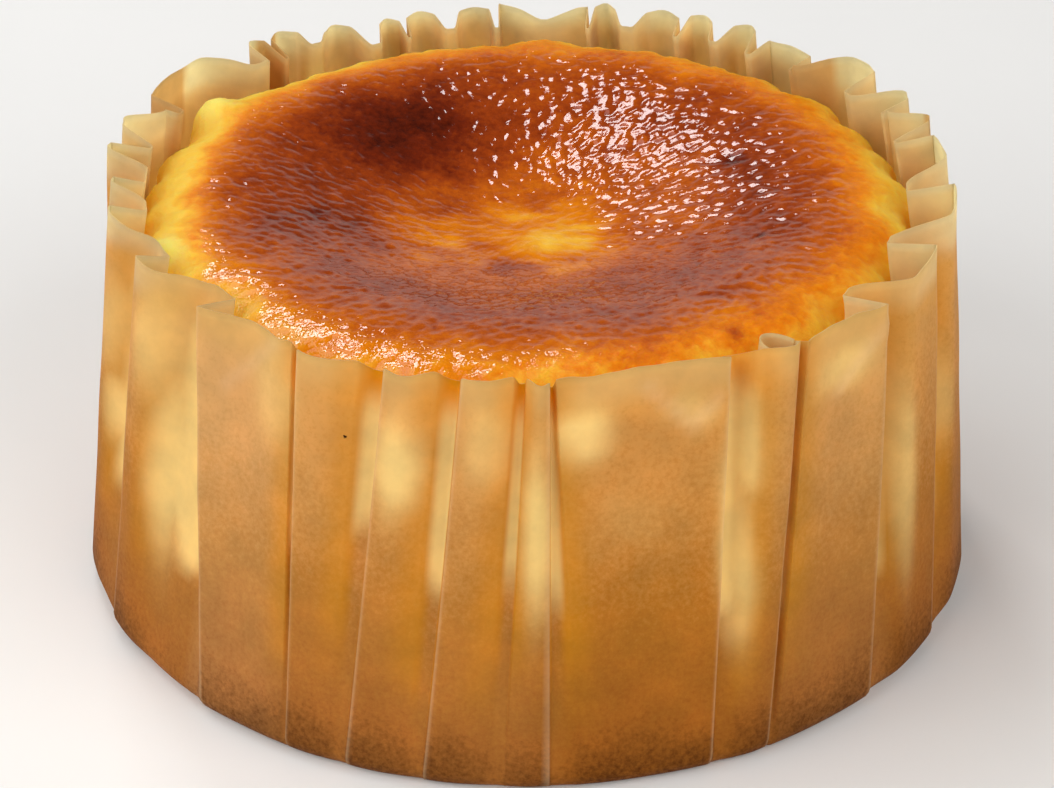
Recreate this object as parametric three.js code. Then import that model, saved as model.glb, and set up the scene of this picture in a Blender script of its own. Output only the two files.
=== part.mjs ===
// A burnt-top cheesecake, baked in a pleated case of baking paper. The cake is one uncut solid: a sunken
// browned top inside a rounded shoulder, and sides that swell a little into the pleats of the case. The
// case is one sheet pressed into a mould, so its wall gathers into uneven pleats that lie nearly flat at
// the foot and stand deepest at the rim. At both sides of the cake the pleats lie over like those of a skirt.
//
// Millimetres, +Z up. The origin is the middle of the case's flat underside. Angles are in degrees from
// the front (-Y), growing towards the right (+X).

import * as THREE from "three";

// Driving dimensions of the paper case.
const BASE_RADIUS = 54.3;
const RIM_RADIUS = 49.6;
const CASE_HEIGHT = 50;
const FOOT_ROUND = 2.4;
const PAPER_THICKNESS = 0.5;

// The pleats in order round the case. Each has the width of its face, the width and depth of the fold after
// it, how far its face stands out and how far its rim rises. Widths are in degrees, the rest in millimetres.
const FIRST_CORNER = 3.6;
const PLEATS = [
  [22.4, 4.6, 3, -0.4, 0], [4.9, 1.2, 2.8, 0.5, 0.3], [13.8, 1.6, 4.8, 1.4, 0],
  [14.4, 2.5, 5.4, 0.6, 0.5], [14.5, 2.5, 5.2, 0.4, 1], [12.5, 2.5, 5, -0.2, 1],
  [7.2, 1.5, 4, 0.6, 1.9], [7.8, 1.8, 5, 0.4, 1.3], [12, 2, 5, 0.4, 1.3],
  [7.7, 2.5, 4, 0.2, -0.9], [3.5, 4, 3.5, 0.3, -0.1], [3.5, 2, 4, 0.2, -0.1],
  [5, 5.3, 3, 0.3, -0.7], [2.8, 1.2, 4.5, 0, -0.4], [13.5, 1.6, 4.5, 0.4, -0.6],
  [4.4, 4.2, 2.8, 0.1, -1.2], [4.2, 1.2, 3.5, 0.2, -1.4], [3, 5.1, 4.5, 0, -1.5],
  [4, 5, 1.6, 0.1, -1], [4.4, 1.4, 4.5, 0.2, 0], [2.9, 0.8, 4.5, 0, 0.3],
  [22, 3.5, 5, 0.3, 1.2], [8, 3, 4.5, 0.4, 1.9], [5, 4, 5, 0.4, 0.7],
  [6, 3, 5.2, -1.1, 0.2], [11, 4.3, 5.2, -0.6, 0.2], [11.2, 5.5, 4.8, -0.8, 0.3],
  [15.8, 1.2, 2.4, -0.6, 0.3], [8, 4, 2.8, -0.8, 0], [6.3, 3.7, 2.8, -1, 0],
  [6.3, 1.7, 2.6, -0.7, 0.2], [2.8, 0.8, 2.2, -0.5, 0],
];
const FOLD_BOTTOM = 0.5;
const FOLD_GROWTH = 0.8;
const RIM_DROP = 1.3;

// The faces: a narrow one bulges out, and a broad one bows in unless it lies over. Along both sides each
// face starts deep in the fold nearer to the front and slopes out. Further back it ends deep instead.
const BULGE = -0.8;
const BULGE_WIDTH = 5;
const LYING_BULGE = -0.2;
const BOW = 1.8;
const BOW_WIDTH = 14;
const SIDE_FROM = [45, 55];
const SIDE_TO = [97, 105];
const BACK_FROM = [100, 106];
const BACK_TO = [127, 135];
const SLOPE_RUN_LEFT = 9;
const SLOPE_RUN_RIGHT = 6;
const SLOPE_SHARE = 0.8;
const FACE_STEP = 4;

// Places round the rim, and how far to the left of each a line down the wall meets the foot.
const LEANS = [
  [-180, 3.5], [-110, 3], [-60, 2], [-52.5, 2.8], [-47, -3.4], [-30.5, 0], [-22, 3],
  [-18, 4.1], [-11.7, 3.5], [-8, 4.4], [-1.7, 4.2], [0, 2.6], [2.8, 0.3], [3.6, -3],
  [26, 3.8], [35.5, 5.7], [50.5, 4], [66.5, 4.6], [110, 3.5], [180, 3.5],
];

// Driving dimensions of the cake. Places on the top are shares of the way from the middle to the edge, and
// only the outer part follows the scallops that the pleats press into the edge.
const EDGE_HEIGHT = 43;
const CREST_HEIGHT = 48;
const CREST_PLACE = 0.83;
const SCALLOP_PLACE = 0.7;
const DISH_DEPTH = 6;
const CREST_UNEVEN = 0.5;
const DISH_UNEVEN = 0.6;
const SWELL = 2.3;
const SWELL_FULL_WIDTH = 14;

// How far inside the smooth wall the cake keeps between its swellings: at the front, and from the sides on.
const CAKE_INSET_FRONT = 2.9;
const CAKE_INSET = 5.2;
const FRONT_END = 25;
const SIDE_START = 55;

// Waves round the top, each by how many fit round the cake, its share of the height and its phase.
const TOP_WAVES = [
  [1, 0.5, 2.2],
  [3, 0.3, 0.6],
  [5, 0.2, 0],
];

// Free space between the cake and the paper, and the sharpest a paper corner may be mitred.
const GAP = 0.3;
const MITRE_LIMIT = 1.8;

// Rows of points on the surfaces, as shares of the way along each stretch.
const FOOT_STEPS = [0, 1 / 3, 2 / 3];
const WALL_STEPS = [0, 0.18, 0.38, 0.58, 0.78, 1];
const SHOULDER_STEPS = [0.3, 0.55, 0.8, 1];
const DISH_STEPS = [0.86, 0.7, 0.52, 0.34, 0.16];

const mix = THREE.MathUtils.lerp;
const smoothstep = THREE.MathUtils.smoothstep;
const radians = THREE.MathUtils.degToRad;
const QUARTER_TURN = Math.PI / 2;

// The point at an angle, radius and height.
function polar(angle, radius, height) {
  const turn = radians(angle);
  return new THREE.Vector3(radius * Math.sin(turn), -radius * Math.cos(turn), height);
}

// An angle from -180 to 180: negative on the left, positive on the right.
function sidedAngle(angle) {
  return THREE.MathUtils.euclideanModulo(angle + 180, 360) - 180;
}

// How far the cake keeps inside the smooth wall at an angle, between its swellings.
function cakeInset(angle) {
  return mix(CAKE_INSET_FRONT, CAKE_INSET, smoothstep(Math.abs(sidedAngle(angle)), FRONT_END, SIDE_START));
}

// How far a face lies over: up to 1 where its front end is deep, down to -1 where its back end is.
function lyingOver(angle) {
  const place = Math.abs(sidedAngle(angle));
  const within = (from, to) => smoothstep(place, ...from) * (1 - smoothstep(place, ...to));
  return within(SIDE_FROM, SIDE_TO) - within(BACK_FROM, BACK_TO);
}

// The pleats with their place, how far they lie over and how far their face bows in.
function makePleats() {
  let start = FIRST_CORNER;
  return PLEATS.map(([face, fold, depth, stand, rise]) => {
    const middle = start + face / 2;
    const onRight = sidedAngle(middle) > 0;
    const lying = lyingOver(middle);
    const bow = mix(BULGE, BOW, smoothstep(face, BULGE_WIDTH, BOW_WIDTH));
    const pleat = {
      start,
      face,
      fold,
      depth,
      stand,
      rise,
      foldMiddle: start + face + fold / 2,
      lies: Math.abs(lying),
      deepAtStart: onRight === lying > 0,
      run: Math.min(onRight ? SLOPE_RUN_RIGHT : SLOPE_RUN_LEFT, SLOPE_SHARE * face),
      bow: mix(bow, LYING_BULGE, Math.abs(lying)),
      room: Math.min(1, face / SWELL_FULL_WIDTH),
      steps: Math.max(1, Math.round(face / FACE_STEP)),
    };
    start += face + fold;
    return pleat;
  });
}

// The radius of a smooth wall at a height: it leans inwards as it rises.
function wallRadius(height) {
  return mix(BASE_RADIUS, RIM_RADIUS, height / CASE_HEIGHT);
}

// How far the folds have opened at a height, from 0 at the floor to 1 at the rim.
function foldGrowth(height) {
  return Math.pow(height / CASE_HEIGHT, FOLD_GROWTH);
}

// The lines of the pleats lean, each in its own way, so they meet the foot beside where they leave the rim.
function leanedAngle(angle, height) {
  const place = sidedAngle(angle);
  const next = LEANS.findIndex(([at]) => at > place);
  const [before, leanBefore] = LEANS[next - 1];
  const [after, leanAfter] = LEANS[next];
  const lean = mix(leanBefore, leanAfter, (place - before) / (after - before));
  return angle - lean * (1 - height / CASE_HEIGHT);
}

// One column of a face, at a share of the way across it. Inward is how far the column lies inside the
// smooth wall, at the rim.
function faceColumn(pleat, pleatBefore, across) {
  const fromDeep = (pleat.deepAtStart ? across : 1 - across) * pleat.face;
  const depth = pleat.deepAtStart ? pleatBefore.depth : pleat.depth;
  const sunk = pleat.lies * (1 - smoothstep(fromDeep, 0, pleat.run));
  const bowed = pleat.bow * Math.sin(Math.PI * across) - pleat.stand;
  return {
    across,
    angle: pleat.start + across * pleat.face,
    inward: mix(bowed, depth, sunk),
    rim: CASE_HEIGHT + pleat.rise - RIM_DROP * sunk,
  };
}

// The columns of one face from corner to corner.
function faceColumns(pleats, index) {
  const pleat = pleats[index];
  const pleatBefore = pleats[(index + pleats.length - 1) % pleats.length];
  const columns = [];
  for (let step = 0; step <= pleat.steps + 1; step += 1) {
    columns.push(faceColumn(pleat, pleatBefore, step / (pleat.steps + 1)));
  }
  return columns;
}

// The two columns at the bottom of the fold after a pleat.
function foldColumns(pleats, index) {
  const pleat = pleats[index];
  const pleatAfter = pleats[(index + 1) % pleats.length];
  return [-1, 1].map((side) => ({
    angle: pleat.foldMiddle + (side * FOLD_BOTTOM * pleat.fold) / 2,
    inward: pleat.depth,
    rim: CASE_HEIGHT + (pleat.rise + pleatAfter.rise) / 2 - RIM_DROP,
  }));
}

// The columns of the case's wall: for each pleat its face, and the flat bottom of the fold after it.
function makeCaseColumns(pleats) {
  return pleats.flatMap((pleat, index) => [...faceColumns(pleats, index), ...foldColumns(pleats, index)]);
}

// One row on the outside of the case, at a share of the way up from the foot to the rim.
function caseRow(columns, share) {
  return columns.map(({ angle, inward, rim }) => {
    const height = mix(FOOT_ROUND, rim, share);
    const radius = wallRadius(height) - inward * foldGrowth(height);
    return polar(leanedAngle(angle, height), radius, height);
  });
}

// One row of a rounded foot below a wall's lowest row: turn 0 lies flat underneath, turn 1 is the wall.
function footRow(wallRow, round, turn) {
  const inward = round * (1 - Math.sin(QUARTER_TURN * turn));
  const drop = round * Math.cos(QUARTER_TURN * turn);
  return wallRow.map((point) => {
    const radius = Math.hypot(point.x, point.y);
    const scale = (radius - inward) / radius;
    return new THREE.Vector3(point.x * scale, point.y * scale, point.z - drop);
  });
}

// A row moved inwards in plan, square to the paper, with its corners mitred.
function insetRow(row, distance) {
  return row.map((point, index) => {
    const before = row[(index + row.length - 1) % row.length];
    const after = row[(index + 1) % row.length];
    const arriving = new THREE.Vector2(point.y - before.y, before.x - point.x).normalize();
    const leaving = new THREE.Vector2(after.y - point.y, point.x - after.x).normalize();
    const outward = arriving.clone().add(leaving).normalize();
    const reach = distance * Math.min(MITRE_LIMIT, 1 / outward.dot(arriving));
    return new THREE.Vector3(point.x - outward.x * reach, point.y - outward.y * reach, point.z);
  });
}

// A closed surface through rings of equally many points, shut at both ends by a middle point.
function closedSurface(firstMiddle, rows, lastMiddle) {
  const count = rows[0].length;
  const points = [firstMiddle, ...rows.flat(), lastMiddle];
  const last = points.length - 1;
  const at = (row, column) => 1 + row * count + (column % count);
  const faces = [];
  for (let column = 0; column < count; column += 1) {
    faces.push(0, at(0, column + 1), at(0, column));
    for (let row = 0; row + 1 < rows.length; row += 1) {
      faces.push(at(row, column), at(row, column + 1), at(row + 1, column + 1));
      faces.push(at(row, column), at(row + 1, column + 1), at(row + 1, column));
    }
    faces.push(last, at(rows.length - 1, column), at(rows.length - 1, column + 1));
  }
  const geometry = new THREE.BufferGeometry().setFromPoints(points);
  geometry.setIndex(faces);
  geometry.computeVertexNormals();
  return geometry;
}

// The case: under the foot, up the outside, over the rim and down the inside to the floor.
function makeCase(pleats) {
  const columns = makeCaseColumns(pleats);
  const outside = WALL_STEPS.map((share) => caseRow(columns, share));
  const inside = outside.map((row) => insetRow(row, PAPER_THICKNESS));
  const innerRound = FOOT_ROUND - PAPER_THICKNESS;
  const rows = [
    ...FOOT_STEPS.map((turn) => footRow(outside[0], FOOT_ROUND, turn)),
    ...outside,
    ...inside.toReversed(),
    ...FOOT_STEPS.toReversed().map((turn) => footRow(inside[0], innerRound, turn)),
  ];
  return closedSurface(new THREE.Vector3(0, 0, 0), rows, new THREE.Vector3(0, 0, PAPER_THICKNESS));
}

// The columns of the cake: those that swell into each pleat's face, as far as the paper lets them, and two
// against the fold after it. The ends of a face count only where the pleat lies over.
function makeCakeColumns(pleats) {
  return pleats.flatMap((pleat, index) => {
    const inFace = faceColumns(pleats, index)
      .filter(({ across }) => pleat.lies > 0 || (across > 0 && across < 1))
      .map(({ angle, across, inward }) => {
        const swell = SWELL * pleat.room * Math.sin(Math.PI * across);
        return { angle, inward: Math.max(cakeInset(angle) - swell, inward) };
      });
    const atFold = foldColumns(pleats, index).map(({ angle, inward }) => ({
      angle,
      inward: Math.max(cakeInset(angle), inward),
    }));
    return [...inFace, ...atFold];
  });
}

// The radius of the cake's side in a column, at a height: just clear of the paper.
function sideRadius({ inward }, height) {
  const clear = PAPER_THICKNESS * MITRE_LIMIT + GAP;
  return wallRadius(height) - inward * foldGrowth(height) - clear;
}

// How far the top rises and falls round the cake, from -1 to 1.
function unevenness(angle) {
  return TOP_WAVES.reduce(
    (sum, [count, share, phase]) => sum + share * Math.sin(count * radians(angle) + phase),
    0,
  );
}

// One row of the cake's side, at a share of the way up from the foot to the edge.
function cakeSideRow(columns, share) {
  const height = mix(FOOT_ROUND, EDGE_HEIGHT, share);
  return columns.map((column) =>
    polar(leanedAngle(column.angle, height), sideRadius(column, height), height),
  );
}

// One row of the top, at a share of the way out to the edge. Lift is the height above the edge.
function cakeTopRow(columns, place, lift) {
  const edges = columns.map((column) => sideRadius(column, EDGE_HEIGHT));
  const meanEdge = edges.reduce((sum, edge) => sum + edge, 0) / edges.length;
  const scallops = smoothstep(place, SCALLOP_PLACE, 1);
  return columns.map(({ angle }, index) =>
    polar(
      leanedAngle(angle, EDGE_HEIGHT),
      place * meanEdge + scallops * (edges[index] - meanEdge),
      EDGE_HEIGHT + lift(angle),
    ),
  );
}

// The shoulder is a quarter of an ellipse from the edge to the crest.
function shoulderRow(columns, share) {
  const place = mix(CREST_PLACE, 1, Math.cos(QUARTER_TURN * share));
  const rise = Math.sin(QUARTER_TURN * share);
  const lift = (angle) => rise * (CREST_HEIGHT - EDGE_HEIGHT + CREST_UNEVEN * unevenness(angle));
  return cakeTopRow(columns, place, lift);
}

// The dish falls in an S-shaped slope from the crest to its middle.
function dishRow(columns, share) {
  const climb = smoothstep(share, 0, 1);
  const lift = (angle) => {
    const crest = CREST_HEIGHT - EDGE_HEIGHT + CREST_UNEVEN * unevenness(angle);
    const middle = CREST_HEIGHT - DISH_DEPTH - EDGE_HEIGHT;
    const ripple = DISH_UNEVEN * share * Math.sin(Math.PI * share) * unevenness(-angle);
    return mix(middle, crest, climb) + ripple;
  };
  return cakeTopRow(columns, CREST_PLACE * share, lift);
}

// The cake: under the foot, up the side, over the shoulder and down into the dish.
function makeCake(pleats) {
  const columns = makeCakeColumns(pleats);
  const side = WALL_STEPS.map((share) => cakeSideRow(columns, share));
  const underside = PAPER_THICKNESS + GAP;
  const rows = [
    ...FOOT_STEPS.map((turn) => footRow(side[0], FOOT_ROUND - underside, turn)),
    ...side,
    ...SHOULDER_STEPS.map((share) => shoulderRow(columns, share)),
    ...DISH_STEPS.map((share) => dishRow(columns, share)),
  ];
  const dishMiddle = new THREE.Vector3(0, 0, CREST_HEIGHT - DISH_DEPTH);
  return closedSurface(new THREE.Vector3(0, 0, underside), rows, dishMiddle);
}

const pleats = makePleats();

const cheesecake = new THREE.Mesh(
  makeCake(pleats),
  new THREE.MeshStandardMaterial({ color: 0x9a4f16, roughness: 0.38, metalness: 0 }),
);
cheesecake.name = "cheesecake";

const paperCase = new THREE.Mesh(
  makeCase(pleats),
  new THREE.MeshStandardMaterial({ color: 0xc99a5b, roughness: 0.6, metalness: 0 }),
);
paperCase.name = "paper_case";

const cakeInCase = new THREE.Group();
cakeInCase.add(cheesecake, paperCase);

export default cakeInCase;
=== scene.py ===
# %% [markdown]
# # A burnt cheesecake in its paper case
#
# The object is a small round cheesecake that was baked until its top was nearly burnt. It still stands
# in the pleated case of baking paper that it was baked in. Two solids from the CAD model fix its place
# and its size, and this lesson gives each of them a finer skin: thin translucent paper, and a browned
# top with an oily shine. The frame is loaded first.

# %% The frame
from itertools import product

import bpy
import numpy as np
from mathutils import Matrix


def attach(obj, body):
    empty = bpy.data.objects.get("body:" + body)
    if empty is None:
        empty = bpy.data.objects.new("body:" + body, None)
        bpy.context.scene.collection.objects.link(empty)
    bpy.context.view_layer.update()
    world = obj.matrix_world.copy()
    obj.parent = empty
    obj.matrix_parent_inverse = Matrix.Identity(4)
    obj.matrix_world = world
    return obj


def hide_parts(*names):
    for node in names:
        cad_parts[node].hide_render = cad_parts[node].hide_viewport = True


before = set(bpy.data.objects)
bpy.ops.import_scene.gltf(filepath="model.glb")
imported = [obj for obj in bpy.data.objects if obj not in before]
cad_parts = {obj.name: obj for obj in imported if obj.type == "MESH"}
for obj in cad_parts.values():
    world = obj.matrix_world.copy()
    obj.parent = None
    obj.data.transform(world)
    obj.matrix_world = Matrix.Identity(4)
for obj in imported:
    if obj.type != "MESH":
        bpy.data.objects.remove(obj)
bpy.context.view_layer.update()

print("CAD nodes:", sorted(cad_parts))

# %% [markdown]
# # Pleats
#
# A flat round of paper can't go up the side of a mould without folding. It stands in broad faces with a
# narrow tuck between each two, and no two are alike. One list says how wide each face is and how wide
# the fold after it, in degrees round the cake, starting near the front and going to the right. The
# paper and the cake both read this list, because the soft cake took its shape from the paper while it
# baked. All lengths are in millimetres until a mesh is made.

# %% The list of pleats
MM = 0.001
FIRST_CORNER = 3.6
# Each pleat: width of its face, width and depth of the fold after it, how far it stands out,
# and how far its rim rises.
PLEATS = np.array([
    [22.4, 4.6, 3, -0.4, 0], [4.9, 1.2, 2.8, 0.5, 0.3], [13.8, 1.6, 4.8, 1.4, 0],
    [14.4, 2.5, 5.4, 0.6, 0.5], [14.5, 2.5, 5.2, 0.4, 1], [12.5, 2.5, 5, -0.2, 1],
    [7.2, 1.5, 4, 0.6, 1.9], [7.8, 1.8, 5, 0.4, 1.3], [12, 2, 5, 0.4, 1.3],
    [7.7, 2.5, 4, 0.2, -0.9], [3.5, 4, 3.5, 0.3, -0.1], [3.5, 2, 4, 0.2, -0.1],
    [5, 5.3, 3, 0.3, -0.7], [2.8, 1.2, 4.5, 0, -0.4], [13.5, 1.6, 4.5, 0.4, -0.6],
    [4.4, 4.2, 2.8, 0.1, -1.2], [4.2, 1.2, 3.5, 0.2, -1.4], [3, 5.1, 4.5, 0, -1.5],
    [4, 5, 1.6, 0.1, -1], [4.4, 1.4, 4.5, 0.2, 0], [2.9, 0.8, 4.5, 0, 0.3],
    [22, 3.5, 5, 0.3, 1.2], [8, 3, 4.5, 0.4, 1.9], [5, 4, 5, 0.4, 0.7],
    [6, 3, 5.2, -1.1, 0.2], [11, 4.3, 5.2, -0.6, 0.2], [11.2, 5.5, 6.5, -0.8, 0.3],
    [15.8, 1.2, 2.4, -0.6, 0.3], [8, 4, 2.8, -0.8, 0], [6.3, 3.7, 2.8, -1, 0],
    [6.3, 1.7, 2.6, -0.7, 0.2], [2.8, 0.8, 2.2, -0.5, 0],
])
face_width, fold_width, depth, stand, rise = PLEATS.T
corner = FIRST_CORNER + np.concatenate([[0], np.cumsum(face_width + fold_width)[:-1]])
print(len(PLEATS), "pleats, together", round(float((face_width + fold_width).sum()), 3), "degrees")

# %% [markdown]
# # From one list to columns round the rim
#
# A pleated wall is a surface of two parameters: a place round the rim and a height. The places are
# worked out once, as columns. A face is a run of columns: a broad one bows in like any sheet held by its
# edges, and a narrow one bulges out. A fold is a wall going in, a flat bottom and a wall coming out. At
# the sides of the cake the pleats lie over like those of a skirt, so there a face starts deep behind its
# neighbour and comes out slowly.

# %% Small helpers
def smooth_step(share):
    """0 below 0, 1 above 1, and between them three times the square less twice the cube."""
    share = np.clip(share, 0, 1)
    return share * share * (3 - 2 * share)


def rising(value, start, end):
    """0 up to the start, 1 from the end on, and a smooth step between them."""
    return smooth_step((value - start) / (end - start))


def bell(share):
    """1 at 0 and nearly 0 beyond 2 on both sides: e to the power of minus the square."""
    return np.exp(-(share ** 2))


def mix(a, b, share):
    """The value that is the given share of the way from a to b."""
    return a + (b - a) * share


def sided(degrees):
    """An angle round the cake as -180 to 180: the front is 0 and the right side is positive."""
    return (degrees + 180) % 360 - 180


# %% How the faces lie
BULGE, BOW = -0.8, 1.8
NARROW, BROAD = 5, 14
LYING_BULGE = -0.2
SLOPE_SHARE = 0.8
SLOPE_RUN_LEFT, SLOPE_RUN_RIGHT = 9, 6
# Angles from the front over which faces begin and cease to lie over one way, then the other way.
LIES_ONE_WAY = (45, 55), (97, 105)
LIES_OTHER_WAY = (100, 106), (127, 135)
BACK_FROM = 105


def within(value, up, down):
    """0 up to the first span, 1 after it, and back to 0 over the second span."""
    return rising(value, *up) * (1 - rising(value, *down))


middle = sided(corner + face_width / 2)
from_front = np.abs(middle)
on_right = middle > 0
lying = within(from_front, *LIES_ONE_WAY) - within(from_front, *LIES_OTHER_WAY)
lies = np.abs(lying)
deep_at_start = on_right == (lying > 0)
deep_end = np.where(deep_at_start, np.roll(depth, 1), depth)
slope_run = np.where(on_right, SLOPE_RUN_RIGHT, SLOPE_RUN_LEFT)
slope_run = np.minimum(slope_run, SLOPE_SHARE * face_width)
bow = mix(mix(BULGE, BOW, rising(face_width, NARROW, BROAD)), LYING_BULGE, lies)
sharp_start = np.where(from_front > BACK_FROM, 0.5, np.where(on_right, 0, 1))
print((lies > 0.5).sum(), "of the faces lie over a neighbour")

# %% The columns
CASE_HEIGHT = 50
RIM_DROP = 1.3
LEAST_COLUMNS, COLUMNS_PER_DEGREE = 4, 1.6
SHARP_ROUND, SOFT_ROUND = 0.15, 0.8
SHARP_REACH, SOFT_REACH = 0.6, 2.6
REACH_LIMIT = 0.35
NEAR_FOLD = 0.3
# Width of the painted highlight along each sharp edge, and how fast it fades into the fold.
EDGE_LINE, EDGE_FADE = 0.25, 0.15
SHARP_WALL, SOFT_WALL = 0.14, 0.6
WALL_COLUMNS = 5
BOTTOM_COLUMNS = 3


def face_columns(i):
    """Angle, way in, rim height, crease and sunk share of one face. The crease share is a painted highlight
    along the sharp edge. The way in is a half sine wave, blended into the depth of the fold at the deep end
    where the pleats lie over, plus a rounding at each corner: a small one at its sharp edge and a wide one
    where it turns softly into a fold."""
    wide = face_width[i]
    count = LEAST_COLUMNS + round(COLUMNS_PER_DEGREE * wide)
    across = (1 - np.cos(np.linspace(0, np.pi, count))) / 2
    from_start, from_end = across * wide, (1 - across) * wide
    from_deep = from_start if deep_at_start[i] else from_end
    sunk = lies[i] * (1 - smooth_step(from_deep / slope_run[i]))
    way_in = mix(bow[i] * np.sin(np.pi * across) - stand[i], deep_end[i], sunk)
    near_fold = crease = 0
    for away, sharp in ((from_start, sharp_start[i]), (from_end, 1 - sharp_start[i])):
        reach = min(mix(SOFT_REACH, SHARP_REACH, sharp), REACH_LIMIT * wide)
        rounding = bell(away / reach)
        way_in = way_in + mix(SOFT_ROUND, SHARP_ROUND, sharp) * rounding * (1 - sunk)
        near_fold = near_fold + NEAR_FOLD * (1 - sharp) * rounding
        # A painted highlight along the sharp edge, where the fold catches the light.
        crease = crease + sharp * bell(away / EDGE_LINE) * (1 - sunk)
    rim = CASE_HEIGHT + rise[i] - RIM_DROP * sunk
    return [corner[i] + from_start, way_in, rim, crease, np.maximum(sunk, near_fold)]


def fold_columns(i, before, after):
    """Angle, way in, rim height, crease and sunk share of the fold after face i: a smooth step in from
    the face before it, a flat bottom and a smooth step out to the face after it. One step is steep and
    the other gentle. The crease share, a painted highlight, fades out into the fold."""
    first_wall = mix(SOFT_WALL, SHARP_WALL, 1 - sharp_start[i])
    last_wall = mix(SOFT_WALL, SHARP_WALL, sharp_start[i])
    turn = np.linspace(0, 1, WALL_COLUMNS + 2)[1:-1]
    step = np.concatenate([smooth_step(turn), np.ones(BOTTOM_COLUMNS), smooth_step(1 - turn)])
    bottom = np.linspace(first_wall, 1 - last_wall, BOTTOM_COLUMNS)
    place = np.concatenate([first_wall * turn, bottom, 1 - last_wall * (1 - turn)])
    first_half = np.arange(len(step)) < len(step) // 2
    ends = [np.where(first_half, one[-1], other[0]) for one, other in zip(before, after)]
    _, end_in, end_rim, end_crease, end_sunk = ends
    degrees = corner[i] + face_width[i] + fold_width[i] * place
    low = CASE_HEIGHT + (rise[i] + rise[(i + 1) % len(PLEATS)]) / 2 - RIM_DROP
    crease = end_crease * bell(step / EDGE_FADE)
    return [degrees, mix(end_in, depth[i], step), mix(end_rim, low, step), crease, mix(end_sunk, 1, step)]


faces = [face_columns(i) for i in range(len(PLEATS))]
folds = [fold_columns(i, faces[i], faces[(i + 1) % len(PLEATS)]) for i in range(len(PLEATS))]
angle, way_in, rim, crease, sunk = np.hstack([np.hstack(pair) for pair in zip(faces, folds)])
print(len(angle), "columns round the rim")

# %% [markdown]
# # The wall's form
#
# The case is a little wider at the foot than at the rim. A fold is deepest at the rim and dies out
# towards the foot, and each fold line leans in its own way as it goes down: a short list says how far,
# for places round the rim. These rules turn a column and a height into a point.

# %% Rules for the wall
BASE_RADIUS = 54.3
RIM_RADIUS = 49.6
FOLD_GROWTH = 0.8
# Places round the rim, and how far to the left the fold line from there has moved at the foot, in degrees.
LEANS = np.array([
    [-180, 3.5], [-110, 3], [-60, 2], [-52.5, 2.8], [-47, -3.4], [-30.5, 0], [-22, 3],
    [-18, 4.1], [-11.7, 3.5], [-8, 4.4], [-1.7, 4.2], [0, 2.6], [2.8, 0.3], [3.6, -3],
    [26, 3.8], [35.5, 5.7], [50.5, 4], [66.5, 4.6], [110, 3.5],
])


def wall_radius(z):
    """Outer radius of an unfolded wall: a straight line from the foot to the rim."""
    return mix(BASE_RADIUS, RIM_RADIUS, z / CASE_HEIGHT)


def fold_growth(z):
    """Share of a fold's full depth at a height: the share of the height to the power of 0.8."""
    return (np.maximum(z, 0) / CASE_HEIGHT) ** FOLD_GROWTH


def leaned(degrees, z):
    """The angle of a fold line at a height: its angle at the rim, less its lean for the way down."""
    lean = np.interp(sided(degrees), *LEANS.T, period=360)
    return degrees - lean * (1 - z / CASE_HEIGHT)


def round_point(degrees, radius, z):
    """A point from its angle round the cake, its radius and its height. Angle 0 is the front, so x is
    the radius times the sine, and y is minus the radius times the cosine."""
    turned = np.radians(degrees)
    return np.stack(np.broadcast_arrays(radius * np.sin(turned), -radius * np.cos(turned), z), -1)


print("fold lines lean by", LEANS[:, 1].min(), "to", LEANS[:, 1].max(), "degrees")

# %% How far in the cake lies
CAKE_INSET_FRONT, CAKE_INSET = 2.9, 5.2
INSET_GROWS = 25, 55
SWELL = 2.3
SWELL_FULL_WIDTH = 14
FINE_STEP = 0.1
SMOOTH_OVER = 17


def swelling(degrees):
    """How far the cake swells into each face: a half sine wave across it, lower where the face is
    narrow."""
    waves = 0
    for first, wide in zip(corner, face_width):
        across = np.clip(((degrees - first) % 360) / wide, 0, 1)
        waves = waves + SWELL * min(1, wide / SWELL_FULL_WIDTH) * np.sin(np.pi * across)
    return waves


fine = np.arange(0, 360, FINE_STEP)
paper_in = np.interp(fine, angle, way_in, period=360)
inset = mix(CAKE_INSET_FRONT, CAKE_INSET, rising(np.abs(sided(fine)), *INSET_GROWS))
cake_in = np.maximum(inset - swelling(fine), paper_in)
half_over = SMOOTH_OVER // 2
wrapped = np.concatenate([cake_in[-half_over:], cake_in, cake_in[:half_over]])
smoothed = np.convolve(wrapped, np.ones(SMOOTH_OVER) / SMOOTH_OVER, "valid")
cake_in = np.maximum(smoothed, paper_in)
print("the cake lies", cake_in.min().round(1), "to", cake_in.max().round(1), "mm in from the wall")

# %% [markdown]
# # Lumps from numbers
#
# Neither paper nor crust is smooth. A noise function gives both their small lumps: random slopes sit on
# the corners of a lattice, and a point blends what the eight slopes round it say about its height. It is
# the same idea as the Noise Texture node, but here it moves real points, so the shape is also there in
# the mesh.

# %% Noise on a lattice
LATTICE = 48
NOISE_GAIN = 1.5


def lumps(points, size, seed):
    """Smooth noise of about -1 to 1 with lumps of a size. Each lattice corner has a random slope, and
    the heights that the eight slopes give are blended along each edge of the cell with a soft step: six
    times the fifth power, less fifteen times the fourth, plus ten times the third."""
    slopes = np.random.default_rng(seed).normal(size=(LATTICE, LATTICE, LATTICE, 3))
    slopes /= np.linalg.norm(slopes, axis=-1, keepdims=True)
    place = points / size
    cell = np.floor(place).astype(int)
    inside = place - cell
    ease = inside ** 3 * (inside * (6 * inside - 15) + 10)
    height = np.zeros(points.shape[:-1])
    for vertex in product((0, 1), repeat=3):
        weight = np.prod(np.where(np.array(vertex) == 1, ease, 1 - ease), axis=-1)
        i, j, k = np.moveaxis((cell + vertex) % LATTICE, -1, 0)
        height += weight * np.sum(slopes[i, j, k] * (inside - vertex), axis=-1)
    return NOISE_GAIN * height


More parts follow.
